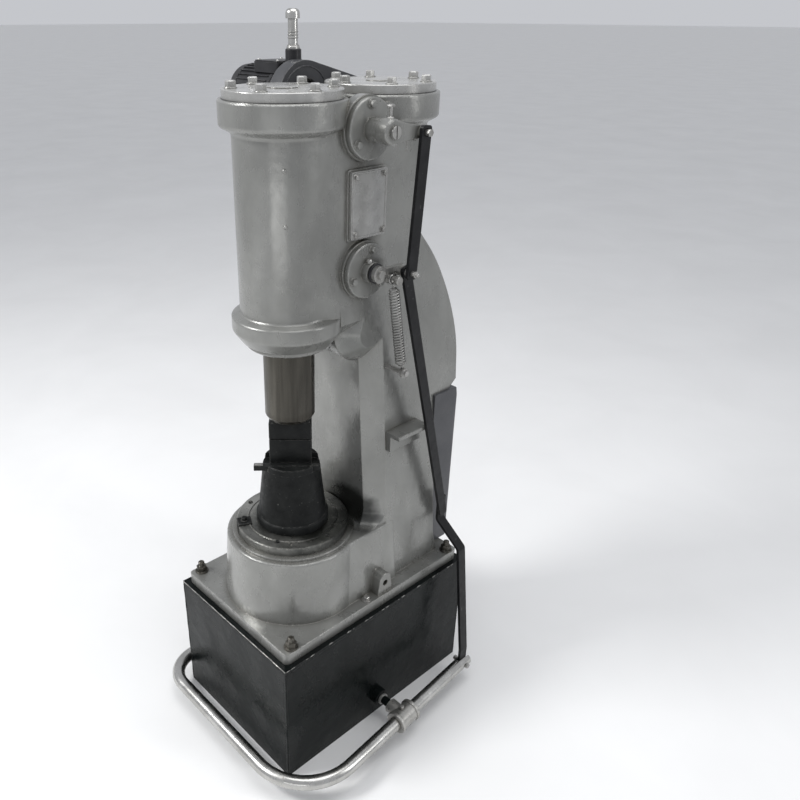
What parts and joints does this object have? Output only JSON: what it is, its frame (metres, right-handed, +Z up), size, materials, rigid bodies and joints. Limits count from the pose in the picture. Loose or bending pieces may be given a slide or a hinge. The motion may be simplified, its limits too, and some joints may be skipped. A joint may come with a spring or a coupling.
{
  "type": "air forging hammer",
  "caption": "Single-body pneumatic forging hammer on a box stand, with ram, dies, valve levers, link bars and a pipe treadle.",
  "frame": {"origin": "foot of the ram axis on the floor, on the underside of the stand", "axes": "+Z up along the ram axis, -Y towards the operator at the front, +X towards the valve and linkage side"},
  "size_m": [0.7349, 0.76, 1.69],
  "materials": {
    "casting_paint": "Warm silver-grey gloss paint on cast iron",
    "cover_paint": "Silver-grey paint on turned covers",
    "ram_steel": "Dark oily machined steel",
    "die_steel": "Dark heat-blackened tool steel",
    "anvil_iron": "Dark worn cast iron",
    "bright_steel": "Bright plated steel",
    "spring_steel": "Grey spring steel",
    "black_bar": "Satin black painted flat bar",
    "treadle_chrome": "Chromed pipe",
    "fitting_metal": "Grey cast pipe fitting",
    "stand_paint": "Gloss black paint on steel plate",
    "motor_paint": "Black paint on cast motor parts",
    "pulley_metal": "Turned cast iron",
    "belt_rubber": "Black belt rubber",
    "guard_paint": "Dark grey painted sheet steel",
    "rear_cover_paint": "Dark grey paint on sheet steel"
  },
  "bodies": {
    "frame": {"anvil_disc": "anvil_iron", "belt_guard": "guard_paint", "chrome_post": "treadle_chrome", "die_key": "die_steel", "disc_clamp": "die_steel", "drive_belt": "belt_rubber", "flywheel": "pulley_metal", "front_cylinder_cover": "cover_paint", "lower_die": "die_steel", "lower_valve_flange": "casting_paint", "main_casting": "casting_paint", "motor_body": "motor_paint", "motor_bracket": "casting_paint", "motor_pulley": "pulley_metal", "pivot_stub_left": "stand_paint", "pivot_stub_right": "stand_paint", "post_socket": "motor_paint", "ram_gland": "casting_paint", "rear_cover": "rear_cover_paint", "rear_cylinder_cover": "cover_paint", "return_spring": "spring_steel", "side_ledge": "casting_paint", "sow_block": "die_steel", "spring_anchor": "bright_steel", "stand_back_plate": "stand_paint", "stand_bottom_plate": "stand_paint", "stand_front_plate": "stand_paint", "stand_left_plate": "stand_paint", "stand_right_plate": "stand_paint", "stand_top_plate": "stand_paint", "terminal_box": "motor_paint", "upper_valve_flange": "casting_paint", "valve_cover_plate": "cover_paint"},
    "ram_body": {"ram": "ram_steel", "upper_die": "die_steel"},
    "upper_lever": {"upper_valve_spindle": "bright_steel", "upper_valve_lever": "casting_paint", "upper_link_pin": "bright_steel"},
    "lower_lever": {"lower_valve_spindle": "bright_steel", "lower_valve_lever": "bright_steel", "lower_link_pin": "bright_steel", "spring_pin": "bright_steel"},
    "upper_link": {"upper_link_bar": "black_bar"},
    "lower_link": {"long_link_bar": "black_bar", "cranked_link_bar": "black_bar"},
    "treadle": {"treadle_pipe": "treadle_chrome", "treadle_tee_right": "fitting_metal", "treadle_collar_left": "fitting_metal", "heel_pin": "bright_steel"}
  },
  "joints": [
    {"name": "ram_slide", "type": "slide", "parent": "frame", "child": "ram_body", "axis": [0, 0, 1], "range_m": [0, 0.17]},
    {"name": "treadle_hinge", "type": "hinge", "parent": "frame", "child": "treadle", "pos_m": [0, 0.104, 0.06], "axis": [1, 0, 0], "range_deg": [0, 5.5], "stiffness_Nm_per_rad": 120, "springref_deg": -20.05},
    {"name": "lower_lever_hinge", "type": "hinge", "parent": "frame", "child": "lower_lever", "pos_m": [0.15, 0.118, 1.203], "axis": [1, 0, 0], "range_deg": [0, 26], "deforming": ["return_spring"]},
    {"name": "upper_lever_hinge", "type": "hinge", "parent": "frame", "child": "upper_lever", "pos_m": [0.16, 0.118, 1.483], "axis": [1, 0, 0], "range_deg": [0, 18.5]},
    {"name": "lower_link_hinge", "type": "hinge", "parent": "lower_lever", "child": "lower_link", "pos_m": [0.18, 0.173, 1.203], "axis": [1, 0, 0], "range_deg": [-25.8, 0]},
    {"name": "upper_link_hinge", "type": "hinge", "parent": "lower_lever", "child": "upper_link", "pos_m": [0.194, 0.173, 1.203], "axis": [1, 0, 0], "range_deg": [-26.6, 0]}
  ],
  "couplings": [
    {"joint": "lower_lever_hinge", "follows": "treadle_hinge", "ratio": 4.7001},
    {"joint": "lower_link_hinge", "follows": "treadle_hinge", "ratio": -4.6691},
    {"joint": "upper_lever_hinge", "follows": "treadle_hinge", "ratio": 3.3488},
    {"joint": "upper_link_hinge", "follows": "treadle_hinge", "ratio": -4.8107}
  ]
}
